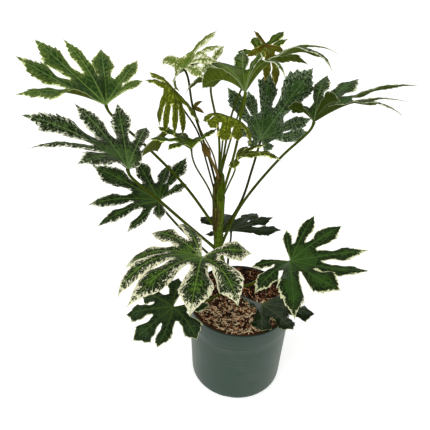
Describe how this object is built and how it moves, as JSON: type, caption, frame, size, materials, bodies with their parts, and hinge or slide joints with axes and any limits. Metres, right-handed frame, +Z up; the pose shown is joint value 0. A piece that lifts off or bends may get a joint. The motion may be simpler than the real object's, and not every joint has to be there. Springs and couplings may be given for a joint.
{
  "type": "variegated fatsia japonica in a nursery pot",
  "caption": "Potted variegated fatsia: lobed, cream-speckled leaves on arching stalks from a short stem, in bark compost in a round green plastic nursery pot.",
  "frame": {"origin": "centre of the pot's flat base, on the surface it stands on", "axes": "+Z up; +Y away from the viewer and +X to the viewer's right, seen from the front of the plant"},
  "size_m": [0.6144, 0.466, 0.7036],
  "materials": {
    "pot_plastic": "satin",
    "bark_compost": "matte",
    "stem_sheath": "satin",
    "stalk_green": "satin",
    "leaf_green": "satin",
    "leaf_grey_green": "satin",
    "leaf_cream_edged": "satin",
    "leaf_dark": "satin",
    "leaf_young": "satin",
    "leaf_pale": "satin",
    "leaf_bronze": "satin",
    "bud_brown": "satin"
  },
  "bodies": {
    "root": {"pot": "pot_plastic", "soil": "bark_compost", "stem": "stem_sheath", "leaf_upper_left_stalk": "stalk_green", "leaf_upper_left_blade": "leaf_green", "leaf_left_stalk": "stalk_green", "leaf_left_blade": "leaf_grey_green", "leaf_middle_left_stalk": "stalk_green", "leaf_middle_left_blade": "leaf_grey_green", "leaf_front_stalk": "stalk_green", "leaf_front_blade": "leaf_cream_edged", "leaf_young_left_stalk": "stalk_green", "leaf_young_left_blade": "leaf_young", "leaf_pale_stalk": "stalk_green", "leaf_pale_blade": "leaf_pale", "leaf_pale_back_stalk": "stalk_green", "leaf_pale_back_blade": "leaf_pale", "leaf_top_stalk": "stalk_green", "leaf_top_blade": "leaf_green", "leaf_top_back_stalk": "stalk_green", "leaf_top_back_blade": "leaf_green", "leaf_bronze_stalk": "stalk_green", "leaf_bronze_blade": "leaf_bronze", "leaf_middle_right_stalk": "stalk_green", "leaf_middle_right_blade": "leaf_grey_green", "leaf_right_stalk": "stalk_green", "leaf_right_blade": "leaf_green", "leaf_small_left_stalk": "stalk_green", "leaf_small_left_blade": "leaf_green", "leaf_small_right_stalk": "stalk_green", "leaf_small_right_blade": "leaf_young", "leaf_young_centre_stalk": "stalk_green", "leaf_young_centre_blade": "leaf_young", "leaf_back_stalk": "stalk_green", "leaf_back_blade": "leaf_dark", "leaf_front_right_stalk": "stalk_green", "leaf_front_right_blade": "leaf_dark", "leaf_low_left_stalk": "stalk_green", "leaf_low_left_blade": "leaf_dark", "leaf_low_right_stalk": "stalk_green", "leaf_low_right_blade": "leaf_dark", "bud_pair": "bud_brown", "bud_brown": "bud_brown"}
  },
  "joints": []
}
